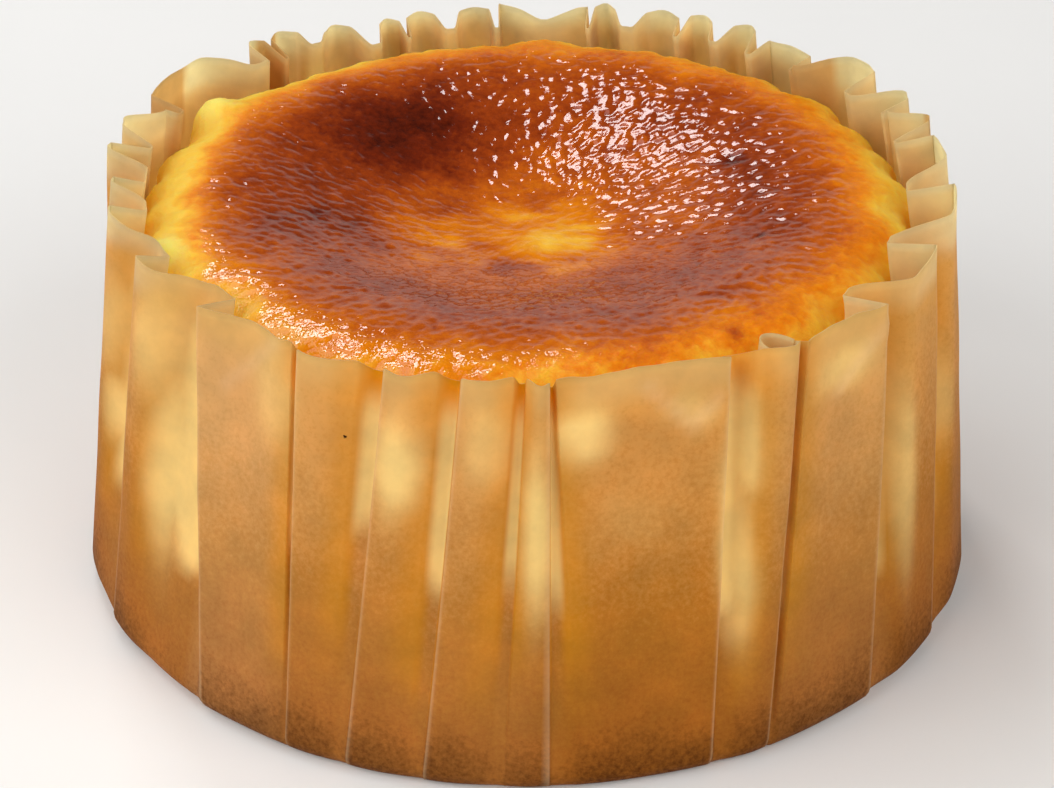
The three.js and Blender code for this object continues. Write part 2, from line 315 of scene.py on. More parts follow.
# %% [markdown]
# # From rings to a mesh
#
# Paper, rolled pleat and cake are all made of rings with the same number of points. One function can
# therefore close them all: it joins neighbouring rings with four-sided faces and shuts both ends with a
# fan of triangles, so no seam is left open. It also keeps named values on the points, which a material
# reads later with an Attribute node.

# %% Rings of points to a mesh
def skin_from_rings(name, rings, first_pole, last_pole, marks):
    """A closed skin over rings of points in millimetres. Each point, its neighbour and the two points
    above them make one face, and a fan of triangles joins the first and the last ring to a pole. Marks
    are values kept on the points, for the material to read."""
    rows, columns = rings.shape[:2]
    ring, place = np.mgrid[0:rows, 0:columns]
    here = ring * columns + place
    beside = ring * columns + (place + 1) % columns
    quads = np.stack([here[:-1], beside[:-1], beside[1:], here[1:]], -1).reshape(-1, 4)
    first, last = rows * columns, rows * columns + 1
    fan_first = np.stack([np.full(columns, first), beside[0], here[0]], -1)
    fan_last = np.stack([here[-1], beside[-1], np.full(columns, last)], -1)
    mesh = bpy.data.meshes.new(name)
    points = np.vstack([rings.reshape(-1, 3), first_pole, last_pole]) * MM
    mesh.from_pydata(points.tolist(), [], quads.tolist() + fan_first.tolist() + fan_last.tolist())
    mesh.polygons.foreach_set("use_smooth", np.ones(len(mesh.polygons), bool))
    for mark, values in marks.items():
        layer = mesh.attributes.new(mark, "FLOAT", "POINT")
        ends = [values[0].mean(), values[-1].mean()]
        layer.data.foreach_set("value", np.concatenate([values.ravel(), ends]).astype(np.float32))
    mesh.update()
    piece = bpy.data.objects.new(name, mesh)
    bpy.context.scene.collection.objects.link(piece)
    print(name, "has", len(points), "points and", 2 * len(quads) + 2 * columns, "triangles")
    return piece


# %% [markdown]
# # The paper's shape
#
# Baking paper is about as thick as a hair, so a single sheet of faces would look right from a distance.
# A closed shell is better: it has an edge to catch the light along the rim, and it stays a solid thing
# when it is exported. The rings run from the middle of the base, out to the foot, up the outside, over
# the rim and down the inside.

# %% Creases
CREASE_HEIGHT = 0.28
CREASE_REACH = 0.9
ARC = np.radians(RIM_RADIUS)
# Each crease: the angle and height of its two ends.
CREASES = [
    ["across the upper corner of the broad left face", -42.1, 42.3, -33.9, 49.5],
    ["down from the corner of the broad right face", 50, 47.5, 42.2, 42.1],
    ["left arm of a bent place on the broad front face", 15.5, 47.6, 20.9, 43.2],
    ["right arm of that place", 20.9, 43.2, 24.2, 45.7],
]


def crease_lines(degrees, z):
    """1 on a crease and 0 away from it: on the unrolled wall, the distance to the nearest point of a
    straight line goes through a bell curve."""
    lines = 0
    for _, first_angle, first_z, last_angle, last_z in CREASES:
        along, up = (last_angle - first_angle) * ARC, last_z - first_z
        off_along, off_up = sided(degrees - first_angle) * ARC, z - first_z
        share = np.clip((off_along * along + off_up * up) / (along ** 2 + up ** 2), 0, 1)
        away = np.hypot(off_along - share * along, off_up - share * up)
        lines = np.maximum(lines, bell(away / CREASE_REACH))
    return lines


print(len(CREASES), "creases across the faces")

# %% The outer wall
FOOT_ROUND = 2.4
WALL_ROWS, FOOT_ROWS, BASE_ROWS = 40, 5, 5
ROWS_CROWD = 0.9
BASE_SPAN = 0.15, 0.97
RIM_WAVE, RIM_WAVE_SIZE = 0.3, 3.1
SHEET_WAVE, SHEET_WAVE_SIZE = 0.22, 6.5
SHEET_STRETCH = [1, 1, 0.6]
# Each dip of the rim: its angle, half its width and its depth. Below 0 the rim rises.
RIM_DIPS = [[177.4, 3.6, 1.7], [-131, 2, 0.6], [22, 4, -0.3]]

rim_points = round_point(angle, RIM_RADIUS, CASE_HEIGHT)
rim_wavy = rim + RIM_WAVE * lumps(rim_points, RIM_WAVE_SIZE, seed=11)
for dip, half_wide, drop in RIM_DIPS:
    rim_wavy = rim_wavy - drop * bell(sided(angle - dip) / half_wide)
rows_up = np.linspace(0, 1, WALL_ROWS)[:, None] ** ROWS_CROWD
wall_z = mix(FOOT_ROUND, rim_wavy, rows_up)
unfolded = round_point(angle, wall_radius(wall_z), wall_z)
sheet_wave = SHEET_WAVE * lumps(unfolded * SHEET_STRETCH, SHEET_WAVE_SIZE, seed=12)
wall_r = wall_radius(wall_z) - (way_in + sheet_wave) * fold_growth(wall_z)
wall_r = wall_r + CREASE_HEIGHT * crease_lines(leaned(angle, wall_z), wall_z)

foot_turn = np.linspace(0, np.pi / 2, FOOT_ROWS + 1)[:-1, None]
foot_z = FOOT_ROUND * (1 - np.cos(foot_turn)) + 0 * angle
foot_r = wall_r[0] - FOOT_ROUND * (1 - np.sin(foot_turn))
base_r = foot_r[0] * np.linspace(*BASE_SPAN, BASE_ROWS)[:, None]
outer_r = np.vstack([base_r, foot_r, wall_r])
outer_z = np.vstack([0 * base_r, foot_z, wall_z])
outer = round_point(leaned(angle, outer_z), outer_r, outer_z)
print("outer wall:", outer.shape[0], "rings")

# %% The inner wall
SHEET = 0.16


def inward(rings):
    """Unit vectors that point into the sheet: the way from ring to ring crossed with the way round the
    ring."""
    round_way = np.roll(rings, -1, 1) - np.roll(rings, 1, 1)
    up_way = np.gradient(rings, axis=0)
    normal = np.cross(up_way, round_way)
    return normal / np.linalg.norm(normal, axis=-1, keepdims=True)


inner = (outer + SHEET * inward(outer))[::-1]
rings = np.concatenate([outer, inner])
paper_z = np.clip(rings[..., 2], 0, None)
print("rim is", wall_z[-1].min().round(1), "to", wall_z[-1].max().round(1), "mm high")

# %% [markdown]
# # What the cake does to the paper
#
# Baking paper lets colour through wherever something touches it. In the folds the paper is pressed into
# the cake, and its pale yellow shows, painted brighter as light coming through the paper. At the cake's
# browned upper edge the folds turn amber. The faces stand away from the cake, so they stay tan, apart
# from soft patches under the rim where the cake leans on them, painted bright in the same way. The lower
# half is darker towards the foot: partly the browned base of the cake behind it, partly painted shade.
# The walls of the folds carry painted shade and their sharp edges a painted highlight. The sheet behind
# the cake is painted pale, as light coming through it, and darker where two layers lie together, as
# painted shade. Each of these is a mark, a value from 0 to 1 that is worked out here and kept on the
# points.

# %% Where the cake touches the paper
# Each patch: its angle and height, half its width in degrees, half its height and its strength.
# Each patch is the cake's pale yellow through the paper, painted brighter, as light coming through it.
GLOW_PATCHES = [
    ["upper left of the broad front face", 7, 43.4, 4, 3.3, 0.9],
    ["upper right of the broad front face", 21, 44.6, 3.5, 2.2, 0.45],
    ["middle of the broad front face", 13, 33, 4, 3.5, 0.12],
    ["second face left of the middle", -16, 39, 3.2, 5.5, 0.95],
    ["first face left of the middle", -5, 42.3, 3, 5, 0.5],
    ["narrow strip in the middle", 1.1, 32, 1.8, 10, 0.9],
    ["upper right of the broad left face", -33.5, 43, 4, 6, 0.45],
    ["folded face at the left, above", -58, 41, 4.5, 7, 0.7],
    ["folded face at the left, below", -56, 27, 3.2, 12, 1],
    ["far left face, above", -75, 37, 4, 6, 0.5],
    ["far left face, below", -71.5, 26, 4.5, 5, 0.85],
    ["strip right of the broad front face, above", 27.8, 40, 2.2, 7, 1],
    ["strip right of the broad front face, below", 26.2, 28, 2.4, 12, 0.95],
    ["upper left of the broad right face", 43.5, 44.8, 5, 2.6, 0.6],
    ["first face round the right side", 55.2, 27, 2.4, 13, 0.65],
    ["second face round the right side", 70, 30, 3, 7, 0.5],
]
# Angles round the case, and how far down the cake shows through the folds there.
GLOW_LOW = np.array([
    [-180, 20], [-60, 17], [-50, 17], [-30, 26], [-21, 32], [-16, 30], [-11, 25], [4, 26],
    [24, 18], [30, 17], [60, 15],
])
# Angles round the case, and how much the paper there stands away from the cake, which leaves it beige.
STANDS_AWAY = np.array([
    [-180, 0.6], [-60, 0.2], [-48, 0.3], [-46, 0.9], [-34, 0.7], [-29, 0.3], [0, 0.3], [5, 0.05],
    [25, 0.05], [36, 0.4], [49, 0.5], [53, 0.1], [70, 0.2], [110, 0.6],
])
# Angles between which two layers of paper lie on each other behind the cake. There the sheet is
# painted darker, as painted shade: less light comes through two layers than through one.
DOUBLED = [[-121.5, -109], [-140, -136.5], [127.5, 132.5], [101, 104]]
print(len(GLOW_PATCHES), "pale patches and", len(DOUBLED), "doubled places")

# %% Pale glow, painted fold shade and amber marks
PATCHY_SIZE, PATCHY_FINE_SIZE = 9, 3.5
UNEVEN_LOW, UNEVEN_WIDE, UNEVEN_HIGH = 5, 0.7, 1.5
FOLD_BOTTOM = 0.375, 1
# The glow in the folds is the cake's colour through the paper, painted brighter as light coming through.
FOLD_GLOW, GLOW_TOP, GLOW_SOFT = 0.95, 45.4, 6
PATCH_FLAT = 1.6
# Painted shade on the walls of the folds: a deep gold, as light bounced inside them.
FOLD_SHADE_LOW, FOLD_SHADE_TOP, FOLD_SHADE_SOFT = 15, 47, 14
AMBER_BAND = 45, 52, 4
AMBER_FADES = 35, 50


def band(z, low, high, soft):
    """1 between two heights and 0 outside them, with a soft step at each."""
    return smooth_step((z - low) / soft + 0.5) * smooth_step((high - z) / soft + 0.5)


patchy = lumps(rings, PATCHY_SIZE, seed=21)
patchy_fine = lumps(rings, PATCHY_FINE_SIZE, seed=22)
here = leaned(angle, paper_z)
from_front = np.abs(sided(here))
glow_low = np.interp(sided(here), *GLOW_LOW.T, period=360) + UNEVEN_LOW * patchy
# The cake's pale yellow through the folds, painted brighter as light coming through the paper.
glow = FOLD_GLOW * rising(sunk, *FOLD_BOTTOM) * band(paper_z, glow_low, GLOW_TOP, GLOW_SOFT)
for _, degrees, z, half_wide, half_high, strength in GLOW_PATCHES:
    off_wide = (sided(here - degrees) + UNEVEN_WIDE * patchy) / half_wide
    off_high = (paper_z - z + UNEVEN_HIGH * patchy_fine) / half_high
    glow = np.maximum(glow, strength * np.exp(-((off_wide ** 2 + off_high ** 2) ** PATCH_FLAT)))
# Painted shade on the fold walls, strongest halfway along each wall.
half_sunk = 4 * sunk * (1 - sunk)
fold_shade = half_sunk * band(paper_z, FOLD_SHADE_LOW + UNEVEN_LOW * patchy, FOLD_SHADE_TOP, FOLD_SHADE_SOFT)
amber = sunk * band(paper_z, *AMBER_BAND) * (1 - rising(from_front, *AMBER_FADES))
print("the cake shows through", round(100 * float((glow > 0.5).mean())), "percent of the paper's points")

# %% Free, doubled, toast and painted shade marks
FREE_SPAN, FREE_UNEVEN = (45.5, 48.5), 0.8
# The free sheet behind the cake is painted pale, as light coming through it.
BEHIND_SPAN = 50, 80
# Painted shade where two layers lie together and pass less light.
DOUBLED_SOFT, DOUBLED_FOLD, DOUBLED_SPAN = 0.8, 0.4, (40, 43)
# The wall is darker towards the foot: partly the browned base of the cake behind it, partly painted shade.
# The foot is darker again, as painted shade under its curve.
WALL_TOAST_AND_SHADE, WALL_TOAST_AND_SHADE_SPAN = 0.66, (0, 46)
FOOT_SHADE, FOOT_SHADE_SPAN = 0.3, (-2, 11)
FOLD_SPARED, TOAST_AND_SHADE_PATCHY, TOAST_AND_SHADE_FINE = 0.2, 0.05, 0.04
# Share of the creases in the painted highlight.
CREASE_HIGHLIGHT_SHARE = 0.9

inside = np.repeat([0.0, 1.0], len(outer))[:, None] + 0 * paper_z
outside = 1 - inside
free = rising(paper_z + FREE_UNEVEN * patchy, *FREE_SPAN)
behind = rising(from_front, *BEHIND_SPAN)
# Painted shade where two layers lie together and pass less light.
doubled = sum(band(sided(here), low, high, DOUBLED_SOFT) for low, high in DOUBLED)
doubled = np.clip(doubled + DOUBLED_FOLD * sunk * behind, 0, 1) * rising(paper_z, *DOUBLED_SPAN)
# Toast and painted shade: darker towards the foot, darkest at the foot itself.
toast_and_shade = WALL_TOAST_AND_SHADE * (1 - rising(paper_z, *WALL_TOAST_AND_SHADE_SPAN))
toast_and_shade = toast_and_shade + FOOT_SHADE * (1 - rising(paper_z, *FOOT_SHADE_SPAN))
toast_and_shade = toast_and_shade * (1 - FOLD_SPARED * sunk) + TOAST_AND_SHADE_PATCHY * patchy + TOAST_AND_SHADE_FINE * patchy_fine
marks = {
    "glow": np.clip(glow, 0, 1) * outside,
    "fold_shade": fold_shade * outside,
    "amber": amber * outside,
    "free": free * outside,
    # Painted pale, as light coming through the free sheet behind the cake.
    "behind": free * behind * outside,
    "doubled": doubled,
    "toast_and_shade": np.clip(toast_and_shade, 0, 1),
    "away": np.interp(sided(here), *STANDS_AWAY.T, period=360),
    # Painted highlight along sharp fold edges and creases.
    "crease": np.maximum(crease, CREASE_HIGHLIGHT_SHARE * crease_lines(here, paper_z)),
    "inside": inside,
}
print("marks on the paper:", ", ".join(marks))

# %% The paper's skin
SPECK_ANGLE, SPECK_HEIGHT = -23.1, 41.3
KEEP_OUTSIDE = 9

speck_off = (sided(here - SPECK_ANGLE) * ARC) ** 2 + (paper_z - SPECK_HEIGHT) ** 2
speck_off = speck_off + KEEP_OUTSIDE * inside
speck = rings.reshape(-1, 3)[speck_off.argmin()]
print("a dark speck sits at", speck.round(1).tolist())
paper = skin_from_rings("paper_skin", rings, [0, 0, 0], [0, 0, SHEET], marks)

# %% [markdown]
# # The paper's finish
#
# A material is a small net of nodes. Writing one line for each node keeps it readable, so a helper adds
# a node, sets the plain values and links whatever comes from another node.

# %% Helpers for materials
NOISE_LOW, NOISE_HIGH = 0.3, 0.7


def srgb(red, green, blue):
    """A colour as a paint program shows it, 0 to 255, as the linear light that a shader works with: the
    standard curve, a straight line near black and a power of 2.4 above it."""
    shown = np.array([red, green, blue]) / 255
    linear = np.where(shown <= 0.04045, shown / 12.92, ((shown + 0.055) / 1.055) ** 2.4)
    return (*(float(value) for value in linear), 1.0)


def new_material(name):
    """An empty node material, and its tree."""
    material = bpy.data.materials.new(name)
    material.use_nodes = True
    material.node_tree.nodes.clear()
    return material, material.node_tree


def add(tree, kind, inputs=None, **settings):
    """One node. Settings are the node's own, and inputs are values or other nodes' outputs."""
    made = tree.nodes.new("ShaderNode" + kind)
    for name, value in settings.items():
        setattr(made, name, value)
    for name, value in (inputs or {}).items():
        socket = made.inputs[name]
        if isinstance(value, bpy.types.NodeSocket):
            tree.links.new(value, socket)
        else:
            socket.default_value = value
    return made


def blended(tree, share, first, second, how="MIX"):
    """A colour that goes from the first to the second by a share. Sockets 6 and 7 take colours."""
    settings = {"data_type": "RGBA", "blend_type": how, "clamp_factor": True}
    return add(tree, "Mix", {0: share, 6: first, 7: second}, **settings).outputs[2]


def mark_of(tree, name):
    """The value that a mesh keeps on its points under a name."""
    return add(tree, "Attribute", attribute_name=name).outputs["Fac"]


def grain(tree, size, detail=4.0, roughness=0.55):
    """Noise on Object coordinates with lumps of about a size in millimetres."""
    place = add(tree, "TexCoord").outputs["Object"]
    inputs = {"Vector": place, "Scale": 1 / (size * MM), "Detail": detail, "Roughness": roughness}
    return add(tree, "TexNoise", inputs).outputs["Fac"]


def ranged(tree, value, low, high, to_low, to_high):
    """A value moved from one range to another and held inside it."""
    inputs = {"Value": value, "From Min": low, "From Max": high, "To Min": to_low, "To Max": to_high}
    return add(tree, "MapRange", inputs, clamp=True).outputs["Result"]


def varied(tree, noise, to_low, to_high):
    """Noise moved to a range. Nearly all of it lies between 0.3 and 0.7."""
    return ranged(tree, noise, NOISE_LOW, NOISE_HIGH, to_low, to_high)


def maths(tree, how, first, second):
    """Two values added, multiplied or otherwise joined."""
    return add(tree, "Math", {0: first, 1: second}, operation=how).outputs["Value"]


def colour_ramp(tree, value, stops):
    """Colours along a value: each stop is a place from 0 to 1 and a colour."""
    ramp = add(tree, "ValToRGB", {"Fac": value})
    for i, (place, colour) in enumerate(stops):
        stop = ramp.color_ramp.elements[i] if i < 2 else ramp.color_ramp.elements.new(place)
        stop.position = place
        stop.color = colour
    return ramp.outputs["Color"]


# %% [markdown]
# # Baking paper
#
# The colour is built in layers, as a painter would glaze it. Two ramps give the tan, darker towards the
# foot with toast and painted shade, one for paper on the cake and one for paper that stands away from it.
# Each mark then lays its own colour over what is there. Thin paper both reflects light and lets it
# through, so a Principled and a Translucent shader are mixed, with more passing where the sheet stands
# free behind the cake.

# %% Colours of the paper
# Paper on the cake along the toast and shade mark: its dark end is partly the browned base of the cake
# behind the paper and partly painted shade at the foot.
TOAST_AND_SHADE_RAMP = [
    [0.0, srgb(224, 170, 88)],
    [0.35, srgb(198, 134, 41)],
    [0.66, srgb(180, 112, 34)],
    [1.0, srgb(104, 54, 6)],
]
TAN = [
    [0.0, srgb(230, 190, 126)],
    [0.35, srgb(210, 163, 93)],
    [0.66, srgb(194, 138, 78)],
    [1.0, srgb(124, 78, 36)],
]
# Each layer, in the order in which they are laid: its mark, how strongly it covers and its colour.
LAYERS = [
    ["free", 1.0, srgb(226, 185, 115)],
    # Painted pale, as light coming through the free sheet behind the cake.
    ["behind", 1.0, srgb(245, 233, 196)],
    # The inside of the case is painted pale, as light coming through the thin sheet from behind.
    ["inside", 1.0, srgb(250, 242, 200)],
    # Painted shade where two layers of paper lie together and pass less light.
    ["doubled", 0.8, srgb(232, 197, 134)],
    # Painted shade on the walls of the folds, a deep gold.
    ["fold_shade", 0.65, srgb(224, 158, 28)],
    ["amber", 1.0, srgb(238, 157, 8)],
    # The cake's pale yellow through the paper, painted brighter as light coming through it.
    ["glow", 1.0, srgb(255, 234, 156)],
    # Painted highlight along sharp fold edges and creases.
    ["crease", 0.3, srgb(246, 218, 170)],
]
FIBRE_TOAST_AND_SHADE = 0.13

paper_material, tree = new_material("baking_paper_tan")
fibres = grain(tree, 0.6, 5.0, 0.7)
# Toast and painted shade towards the foot, varied by the fibres.
toast_and_shade_value = maths(tree, "ADD", mark_of(tree, "toast_and_shade"), varied(tree, fibres, -FIBRE_TOAST_AND_SHADE, FIBRE_TOAST_AND_SHADE))
touching = colour_ramp(tree, toast_and_shade_value, TOAST_AND_SHADE_RAMP)
standing = colour_ramp(tree, toast_and_shade_value, TAN)
colour = blended(tree, mark_of(tree, "away"), touching, standing)
for mark, cover, layer in LAYERS:
    colour = blended(tree, maths(tree, "MULTIPLY", mark_of(tree, mark), cover), colour, layer)
print(len(LAYERS), "layers of colour on the paper")

# %% Speck and sheet
SPECK_COLOUR = srgb(52, 26, 8)
SPECK_INNER, SPECK_OUTER, SPECK_RAGGED = 0.14 * MM, 0.22 * MM, 0.15 * MM
BLOTCH_DARK, BLOTCH_LIGHT = 0.9, 1.07
THROUGH_TOUCHING, THROUGH_FREE = 0.5, 0.75

place = add(tree, "TexCoord").outputs["Object"]
speck_far = add(tree, "VectorMath", {0: place, 1: speck * MM}, operation="DISTANCE").outputs["Value"]
ragged = varied(tree, grain(tree, 0.4), -SPECK_RAGGED, SPECK_RAGGED)
speck_far = maths(tree, "ADD", speck_far, ragged)
on_speck = ranged(tree, speck_far, SPECK_INNER, SPECK_OUTER, 1.0, 0.0)
colour = blended(tree, on_speck, colour, SPECK_COLOUR)
blotches = varied(tree, grain(tree, 5.0), BLOTCH_DARK, BLOTCH_LIGHT)
colour = blended(tree, 1.0, colour, blotches, "MULTIPLY")
crinkle = grain(tree, 1.4, 5.0, 0.6)
bump = add(tree, "Bump", {"Strength": 0.25, "Distance": 0.0002, "Height": crinkle}).outputs["Normal"]
sheet = add(tree, "BsdfPrincipled", {
    "Base Color": colour,
    "Roughness": varied(tree, fibres, 0.42, 0.6),
    "IOR": 1.45,
    "Specular IOR Level": 0.12,
    "Normal": bump,
})
through = add(tree, "BsdfTranslucent", {"Color": colour, "Normal": bump})
thin = maths(tree, "MAXIMUM", mark_of(tree, "inside"), mark_of(tree, "behind"))
passing = ranged(tree, thin, 0.0, 1.0, THROUGH_TOUCHING, THROUGH_FREE)
whole = add(tree, "MixShader", {0: passing, 1: sheet.outputs[0], 2: through.outputs[0]})
add(tree, "OutputMaterial", {"Surface": whole.outputs[0]})
paper.data.materials.append(paper_material)

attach(paper, "root")
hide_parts("paper_case")
print("paper finish:", len(tree.nodes), "nodes")

# %% [markdown]
# # A rolled pleat
#
# One narrow pleat at the front right did not fold flat. Its edge rolled back on itself and stands behind
# the pleat as a small open tube. An arc seen from above, drawn up into a low wall, is enough for it. Each
# ring goes round the wall's thin cross-section, and the rings follow the arc.

# %% The rolled edge
ROLL_ANGLE, ROLL_RADIUS = 33.2, 49.2
ROLL_HALF_WIDE, ROLL_DEEP = 1.75, 3.2
ROLL_LOW, ROLL_HIGH, ROLL_SAG = 46.4, 50.2, 0.3
ROLL_ROWS, ROLL_COLUMNS = 28, 8
# The roll takes half of the inside layer: painted pale, as light coming through it.
ROLL_INSIDE = 0.5


def roll_point(turn, inset, z):
    """A point of the roll: an ellipse seen from above, smaller by an inset, with its middle on the
    pleat."""
    beside = (ROLL_HALF_WIDE - inset) * np.cos(turn)
    behind = (ROLL_DEEP - inset) * np.sin(turn)
    return round_point(leaned(ROLL_ANGLE + beside / ARC, z), ROLL_RADIUS - behind, z)


roll_turn = np.linspace(np.pi, 0, ROLL_ROWS)[:, None]
roll_up = np.linspace(ROLL_LOW, ROLL_HIGH, ROLL_COLUMNS) - ROLL_SAG * np.sin(roll_turn)
roll_front = roll_point(roll_turn, 0, roll_up)
roll_back = roll_point(roll_turn, SHEET, roll_up[:, ::-1])
roll_rings = np.hstack([roll_front, roll_back])
roll_ends = roll_rings[0].mean(0), roll_rings[-1].mean(0)
roll_grid = np.ones(roll_rings.shape[:2])
roll_marks = {"free": roll_grid, "inside": ROLL_INSIDE * roll_grid}
roll = skin_from_rings("rolled_pleat", roll_rings, *roll_ends, roll_marks)
roll.data.materials.append(paper_material)
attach(roll, "root")

# %% [markdown]
# # The cake's shape
#
# The side of the cake follows the pleats: it swells into each face and is pinched at each fold. On top, a
# rounded shoulder rises to a crest, and inside the crest the middle has sunk as it cooled. The grid is
# polar, with its pole in the middle of the dish, and the rings run from under the cake, up its side and
# in over the top.

# %% The edge of the cake
CAKE_COLUMNS = 620
CLEARANCE = 0.55
EDGE_HEIGHT = 43

cake_angle = np.arange(CAKE_COLUMNS) * 360 / CAKE_COLUMNS
cake_way_in = np.interp(cake_angle, fine, cake_in, period=360)


def cake_radius(z):
    """Radius of the cake's side: the wall's, less the way in at that height, less the paper's thickness
    and a gap."""
    return wall_radius(z) - cake_way_in * fold_growth(z) - CLEARANCE


edge = cake_radius(EDGE_HEIGHT)
print("the edge of the top lies", edge.min().round(1), "to", edge.max().round(1), "mm from the middle")

# %% Under the cake and up its side
CAKE_BASE = 0.8
CAKE_FOOT = 2.2
CAKE_FOOT_ROWS, UNDER_ROWS, SIDE_ROWS = 4, 4, 6
UNDER_SPAN = 0.2, 0.98

foot_turn = np.linspace(0, np.pi / 2, CAKE_FOOT_ROWS + 1)[:-1, None]
foot_z = CAKE_BASE + CAKE_FOOT * (1 - np.cos(foot_turn)) + 0 * cake_angle
foot_r = cake_radius(CAKE_BASE + CAKE_FOOT) - CAKE_FOOT * (1 - np.sin(foot_turn))
under_r = foot_r[0] * np.linspace(*UNDER_SPAN, UNDER_ROWS)[:, None]
side_z = np.linspace(CAKE_BASE + CAKE_FOOT, EDGE_HEIGHT, SIDE_ROWS)[:, None] + 0 * cake_angle
print("the cake stands", CAKE_BASE, "mm above the floor")

# %% Over the top
CREST_HEIGHT, CREST_PLACE, CREST_UNEVEN = 48, 0.83, 0.5
DISH_DEPTH, DISH_FLAT, DISH_UNEVEN = 6, 0.16, 0.6
SCALLOP_SPAN = 0.7, 1
# Each slow wave round the top: its turns, its share and where it starts.
TOP_WAVES = [[1, 0.5, 2.2], [3, 0.3, 0.6], [5, 0.2, 0]]
SHOULDER_ROWS, DISH_ROWS = 36, 106


def unevenness(degrees):
    """A slow wave round the cake: three sine waves of one, three and five turns."""
    return sum(share * np.sin(np.radians(degrees) * count + phase) for count, share, phase in TOP_WAVES)


def top_radius(place):
    """Radius at a share of the way from the middle to the edge: that share of the mean edge, and in the
    outer part more and more of how far the scalloped edge departs from the mean."""
    return place * edge.mean() + (edge - edge.mean()) * rising(place, *SCALLOP_SPAN)


crest = CREST_HEIGHT + CREST_UNEVEN * unevenness(cake_angle)
turn = np.linspace(0, np.pi / 2, SHOULDER_ROWS + 1)[1:, None]
shoulder_place = CREST_PLACE + (1 - CREST_PLACE) * np.cos(turn) + 0 * cake_angle
shoulder_z = mix(EDGE_HEIGHT, crest, np.sin(turn))
share = np.linspace(1, 0, DISH_ROWS + 1)[1:-1, None]
dish_place = CREST_PLACE * share + 0 * cake_angle
wobble = DISH_UNEVEN * share * np.sin(np.pi * share) * unevenness(-cake_angle)
dish_z = mix(CREST_HEIGHT - DISH_DEPTH, crest, rising(share, DISH_FLAT, 1)) + wobble

top_place = np.vstack([shoulder_place, dish_place])
cake_r = np.vstack([under_r, foot_r, cake_radius(side_z), top_radius(top_place)])
cake_z = np.vstack([0 * under_r + CAKE_BASE, foot_z, side_z, shoulder_z, dish_z])
cake_place = np.vstack([np.ones((len(cake_r) - len(top_place), CAKE_COLUMNS)), top_place])
cake = round_point(leaned(cake_angle, np.minimum(cake_z, EDGE_HEIGHT)), cake_r, cake_z)
print("cake:", cake.shape[0], "rings of", CAKE_COLUMNS)

# %% [markdown]
# # Wrinkles and small forms
#
# As the top sank, its skin wrinkled. Three sizes of lumps move the points along their normals: slow swells,
# wrinkles and pebbles. They are calmer in the middle and on the burnt place. A few single forms come on
# top. The paper then has the last word: a point that would come through it is drawn back to its inside.

# %% Wrinkles on the cake
LUMP_HEIGHT, LUMP_SIZE = 0.24, 11
WRINKLE_HEIGHT, WRINKLE_SIZE = 0.15, 1.05
PEBBLE_HEIGHT, PEBBLE_SIZE = 0.1, 0.65
TOP_SPAN, INNER_TOP = (EDGE_HEIGHT - 1, EDGE_HEIGHT + 3), 0.7
BURNT_X, BURNT_Y, BURNT_REACH = -15, 17, 12
WRINKLES_LOST, PEBBLES_LOST = 0.3, 0.5
CALM, CALM_SPAN = 0.4, (0.08, 0.38)
# Each form: where its middle is, half its width and its height. Below 0 it is a hollow.
SMALL_FORMS = [
    ["knob that rose over a fold at the left", -42.2, -15.2, 2, 2],
    ["swelling into the paper at the back left", -38.6, 21.6, 2.7, 1.9],
    ["pit in the back slope", 24.6, 10.6, 1.6, -0.35],
    ["hole in the right slope", 27, -9.7, 0.5, -0.12],
]
x, y = cake[..., 0], cake[..., 1]


def round_spot(spot_x, spot_y, reach):
    """1 at a place on the cake and 0 away from it: the distance over the reach through a bell curve."""
    return bell(np.hypot(x - spot_x, y - spot_y) / reach)


on_top = np.maximum(rising(cake_z, *TOP_SPAN), cake_place < INNER_TOP)
burnt = round_spot(BURNT_X, BURNT_Y, BURNT_REACH)
calm = mix(CALM, 1, rising(cake_place, *CALM_SPAN))
wrinkles = lumps(cake, WRINKLE_SIZE, seed=32) * (1 - WRINKLES_LOST * burnt) * calm
pebbles = lumps(cake, PEBBLE_SIZE, seed=31) * (1 - PEBBLES_LOST * burnt) * calm
height = LUMP_HEIGHT * lumps(cake, LUMP_SIZE, seed=33)
height = height + WRINKLE_HEIGHT * wrinkles + PEBBLE_HEIGHT * pebbles
for _, form_x, form_y, reach, amount in SMALL_FORMS:
    height = height + amount * round_spot(form_x, form_y, reach)
height = height * on_top
cake = cake - inward(cake) * height[..., None]
print("the crust's lumps go from", height.min().round(2), "to", height.max().round(2), "mm")

# %% Held by the paper
def paper_limit(points):
    """Largest radius that the cake can have at each point: the paper's, found by undoing the lean of the
    fold line that passes there, less the paper's thickness and a gap."""
    z = points[..., 2]
    degrees = np.degrees(np.arctan2(points[..., 0], -points[..., 1]))
    column = 2 * degrees - leaned(degrees, z)
    return wall_radius(z) - np.interp(column, fine, paper_in, period=360) * fold_growth(z) - CLEARANCE


squeeze = np.minimum(1, paper_limit(cake) / np.hypot(cake[..., 0], cake[..., 1]))
cake[..., :2] *= squeeze[..., None]
print("the paper holds back", (squeeze < 1).sum(), "points, the farthest by", (1 - squeeze).max().round(3))

# %% [markdown]
# # How the oven browned it
#
# The top browns from pale yellow at the edge, where paper and air kept it cool, to mahogany on the slope
# inside the crest. The sunken middle stayed lighter. A curve from the middle to the edge gives the main
# rings, and a few named spots add what this cake has: a burnt place at the back left and yellow patches
# in the dish.

